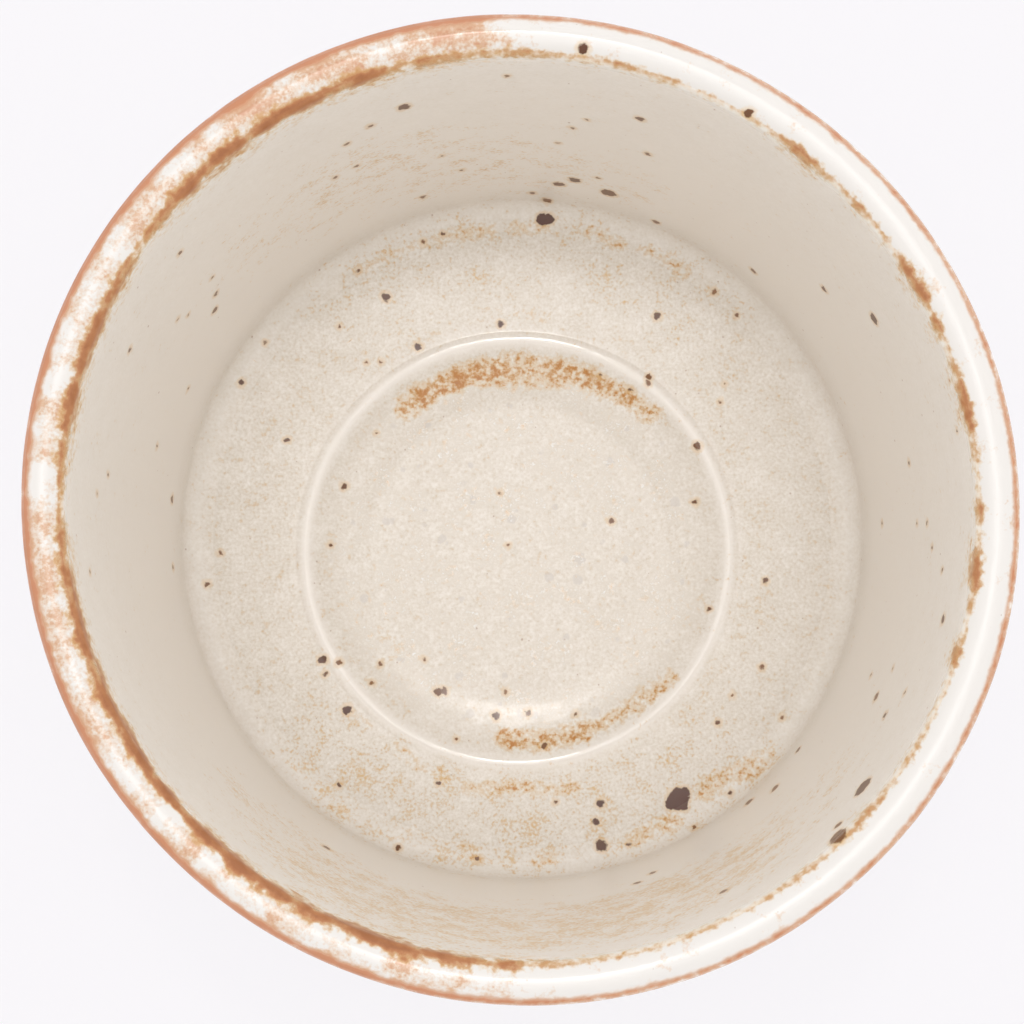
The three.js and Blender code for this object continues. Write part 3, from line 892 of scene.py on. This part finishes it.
def clay_material(colours):
    """Bare stoneware, turned and fired: matt and reddish, with grog and fine turning lines."""
    made, tree, place = new_material("bare_stoneware_turned")
    clouds, grit = [
        add(tree, "TexNoise", {"Vector": place, "Scale": 1 / width, "Detail": CLAY_DETAIL})
        for width in (CLAY_CLOUD_MM, CLAY_GRIT_MM)]
    share = add(tree, "MapRange", {0: clouds, 1: CLAY_CLOUD_START, 2: CLAY_CLOUD_FULL})
    dark = tuple(CLAY_SHADE * part for part in colours.clay[:3]) + (1.0,)
    body = add(tree, "Mix", {0: share, 6: colours.clay, 7: dark}, 2, data_type="RGBA")
    grog = add(tree, "TexVoronoi", {"Vector": place, "Scale": 1 / GROG_MM})
    grains = add(tree, "MapRange", {0: grog, 1: GROG_START, 2: GROG_FULL, 4: GROG_MOST})
    body = add(tree, "Mix", {0: grains, 6: body, 7: colours.tan}, 2, data_type="RGBA")
    flat = add(tree, "VectorMath", {0: place, 1: (1.0, 1.0, 0.0)}, operation="MULTIPLY")
    radius = add(tree, "VectorMath", {0: flat}, "Value", operation="LENGTH")
    turns = add(tree, "Math", {0: radius, 1: math.tau / TURNING_PITCH_MM}, operation="MULTIPLY")
    lines = add(tree, "Math", {0: turns}, operation="SINE")
    relief = add(tree, "Math", {0: grit, 1: GRIT_WEIGHT, 2: lines}, operation="MULTIPLY_ADD")
    bump = add(tree, "Bump", {
        "Height": relief, "Strength": CLAY_BUMP_STRENGTH, "Distance": CLAY_BUMP_HEIGHT})
    shader = add(tree, "BsdfPrincipled", {
        "Base Color": body, "Roughness": CLAY_ROUGHNESS, "IOR": FIRED_IOR, "Normal": bump})
    add(tree, "OutputMaterial", {"Surface": shader})
    return made


def shared_clay(colours):
    """The clay's material, made once for both clay pieces."""
    return bpy.data.materials.get("bare_stoneware_turned") or clay_material(colours)


def piece(name, mesh, surface, node):
    """A finished piece that stands for a node of the frame."""
    made = bpy.data.objects.new(name, mesh)
    bpy.context.scene.collection.objects.link(made)
    made.data.materials.append(surface)
    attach(made, "root")
    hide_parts(node)


class TEACUP_OT_clay_body(bpy.types.Operator):
    """Throw the wall and floor, with the groove for the foot ring"""

    bl_idname = "teacup.clay_body"
    bl_label = "Clay Body"

    def execute(self, context):
        sizes = context.scene.teacup_sizes
        outer = sizes.foot_diameter / 2
        inner = outer - FOOT_WIDTH
        base = (
            complex(0, sizes.foot_height + RECESS_RISE),
            complex(inner, sizes.foot_height),
            complex(inner, FOOT_HIGH.z),
            complex(outer, FOOT_HIGH.z),
        )
        above, _ = glazed_section(sizes)
        whole = Section([(place, 0) for place in (*base, *above.points)])
        mesh = turned_piece("fired_clay_body", whole, False, sizes)
        clay = shared_clay(context.scene.teacup_colours)
        piece("fired_clay_body", mesh, clay, "clay_body")
        return {"FINISHED"}


class TEACUP_OT_foot_ring(bpy.types.Operator):
    """Throw the foot ring and lute it into its groove"""

    bl_idname = "teacup.foot_ring"
    bl_label = "Foot Ring"

    def execute(self, context):
        sizes = context.scene.teacup_sizes
        outer = sizes.foot_diameter / 2
        inner = outer - FOOT_WIDTH
        ring = Section((
            (complex(inner, FOOT_HIGH.z), 0),
            (complex(inner, sizes.foot_height), 0),
            (complex(inner + FOOT_TAPER, 0), FOOT_FILLET),
            (complex(outer - FOOT_TAPER, 0), FOOT_FILLET),
            (complex(outer, sizes.foot_height), 0),
            (complex(outer, FOOT_HIGH.z), 0),
        ))
        mesh = turned_piece("fired_foot_ring", ring, True, sizes)
        clay = shared_clay(context.scene.teacup_colours)
        piece("fired_foot_ring", mesh, clay, "foot_ring")
        return {"FINISHED"}


class TEACUP_OT_glaze_coats(bpy.types.Operator):
    """Pour the cream coats outside and inside, and dip the lip in white"""

    bl_idname = "teacup.glaze_coats"
    bl_label = "Glaze Coats"

    def execute(self, context):
        colours = context.scene.teacup_colours
        cup = GlazedCup(context.scene.teacup_sizes)
        coats = (
            ("outer_glaze", 0, cup.outer_break, outer_glaze_material, "cream_glaze"),
            ("lip_glaze", cup.outer_break, cup.inner_break, lip_glaze_material, "white_glaze"),
            ("inner_glaze", cup.inner_break, len(cup.rows) - 1, inner_glaze_material, "cream_glaze"),
        )
        for node, first, last, material, slot in coats:
            mesh = cup.coat(node + "_coat", first, last)
            piece(node + "_coat", mesh, material(colours, cup.spot_layers), node)
        return {"FINISHED"}


# The stage: paper floor, and an even white tent with a brighter ring overhead
FLOOR_SIZE = 4.0
PAPER = linear("#F8F6F9")
PAPER_GLOW = 0.8
TENT_COLOUR = (1.0, 1.0, 1.0, 1.0)
TENT_LEVEL = 0.935
TENT_LEAN = (0.03, 0.06, 0.0)
RING_LEVEL = 4.0
RING_INNER = math.cos(math.radians(12))
RING_OUTER = math.cos(math.radians(15))
RING_SOFT = 0.0008

# Lamps overhead, as place, width in metres and power in watts: the flat bottom of the well mirrors the
# first, and its curved lower edge mirrors the second as a crescent
LAMPS = (
    ((-0.0054, 0.0375, 0.9), 0.13, 0.17),
    ((-0.004, 0.19, 0.9), 0.07, 0.42),
)


class TEACUP_OT_stage(bpy.types.Operator):
    """Set the pale paper floor, the soft overhead light and the camera"""

    bl_idname = "teacup.stage"
    bl_label = "Stage"

    def execute(self, context):
        scene = context.scene
        scene.view_settings.view_transform = "Standard"
        self.paper_floor(scene)
        self.soft_tent(scene)
        self.lamps(scene)
        self.camera(scene)
        return {"FINISHED"}

    def paper_floor(self, scene):
        """White paper under the cup: it glows a little for the camera, and keeps a soft shadow."""
        half = FLOOR_SIZE / 2
        corners = [(-half, -half, 0), (half, -half, 0), (half, half, 0), (-half, half, 0)]
        mesh = bpy.data.meshes.new("paper_floor")
        mesh.from_pydata(corners, [], [(0, 1, 2, 3)])
        floor = bpy.data.objects.new("paper_floor", mesh)
        scene.collection.objects.link(floor)
        made, tree, _ = new_material("white_paper_matt")
        rays = add(tree, "LightPath", {}, "Is Camera Ray").node.outputs
        seen = add(tree, "Math", {0: rays["Is Camera Ray"], 1: rays["Is Glossy Ray"]},
                   operation="MAXIMUM")
        seen = add(tree, "Math", {0: seen, 1: rays["Is Transmission Ray"]}, operation="MAXIMUM")
        share = add(tree, "Math", {0: seen, 1: PAPER_GLOW}, operation="MULTIPLY")
        matt = add(tree, "BsdfDiffuse", {"Color": PAPER})
        glow = add(tree, "Emission", {"Color": PAPER, "Strength": 1.0})
        mixed = add(tree, "MixShader", {0: share, 1: matt, 2: glow})
        add(tree, "OutputMaterial", {"Surface": mixed})
        floor.data.materials.append(made)

    def soft_tent(self, scene):
        """An even white tent, with a ring of soft light overhead that the bead round the well mirrors."""
        scene.world = bpy.data.worlds.new("soft_tent")
        scene.world.use_nodes = True
        tree = scene.world.node_tree
        tree.nodes.clear()
        way = add(tree, "TexCoord", {}, "Generated")
        up = add(tree, "SeparateXYZ", {0: way}, "Z")
        lean = add(tree, "VectorMath", {0: way, 1: TENT_LEAN}, "Value", operation="DOT_PRODUCT")
        tent = add(tree, "Math", {0: lean, 1: TENT_LEVEL}, operation="ADD")
        band = {0: up, 1: RING_OUTER - RING_SOFT, 2: RING_OUTER, 4: RING_LEVEL}
        inside = add(tree, "MapRange", band)
        band = {0: up, 1: RING_INNER, 2: RING_INNER + RING_SOFT, 3: 1.0, 4: 0.0}
        outside = add(tree, "MapRange", band)
        level = add(tree, "Math", {0: inside, 1: outside, 2: tent}, operation="MULTIPLY_ADD")
        light = add(tree, "Background", {"Color": TENT_COLOUR, "Strength": level})
        seen = add(tree, "Background", {"Color": PAPER, "Strength": 1.0})
        camera = add(tree, "LightPath", {}, "Is Camera Ray")
        mixed = add(tree, "MixShader", {0: camera, 1: light, 2: seen})
        add(tree, "OutputWorld", {"Surface": mixed})

    def lamps(self, scene):
        """Small soft lamps overhead, which the well mirrors."""
        for place, width, power in LAMPS:
            data = bpy.data.lights.new("well_lamp", "AREA")
            data.shape = "DISK"
            data.size = width
            data.energy = power
            lamp = bpy.data.objects.new("well_lamp", data)
            lamp.location = place
            scene.collection.objects.link(lamp)

    def camera(self, scene):
        """The photograph's camera: almost straight down into the cup."""
        data = bpy.data.cameras.new("photo_camera")
        data.lens = LENS
        data.sensor_width = SENSOR
        data.sensor_fit = "HORIZONTAL"
        camera = bpy.data.objects.new("photo_camera", data)
        camera.location = CAMERA_PLACE
        camera.rotation_euler = CAMERA_TURN
        scene.collection.objects.link(camera)
        scene.camera = camera


class TEACUP_PT_panel(bpy.types.Panel):
    """Sizes, colours and pieces of the teacup"""

    bl_idname = "TEACUP_PT_panel"
    bl_label = "Sencha Teacup"
    bl_space_type = "VIEW_3D"
    bl_region_type = "UI"
    bl_category = "Teacup"

    def draw(self, context):
        for group in (context.scene.teacup_sizes, context.scene.teacup_colours):
            box = self.layout.box()
            for name in group.__annotations__:
                box.prop(group, name)
        for operator in OPERATORS:
            self.layout.operator(operator.bl_idname)


OPERATORS = (
    TEACUP_OT_clay_body,
    TEACUP_OT_foot_ring,
    TEACUP_OT_glaze_coats,
    TEACUP_OT_stage,
)
CLASSES = (TeacupSizes, TeacupColours, *OPERATORS, TEACUP_PT_panel)


def register():
    for cls in CLASSES:
        bpy.utils.register_class(cls)
    bpy.types.Scene.teacup_sizes = bpy.props.PointerProperty(type=TeacupSizes)
    bpy.types.Scene.teacup_colours = bpy.props.PointerProperty(type=TeacupColours)


def unregister():
    del bpy.types.Scene.teacup_colours
    del bpy.types.Scene.teacup_sizes
    for cls in reversed(CLASSES):
        bpy.utils.unregister_class(cls)


def main():
    register()
    bpy.ops.teacup.clay_body()
    bpy.ops.teacup.foot_ring()
    bpy.ops.teacup.glaze_coats()
    bpy.ops.teacup.stage()


if __name__ == "__main__":
    main()
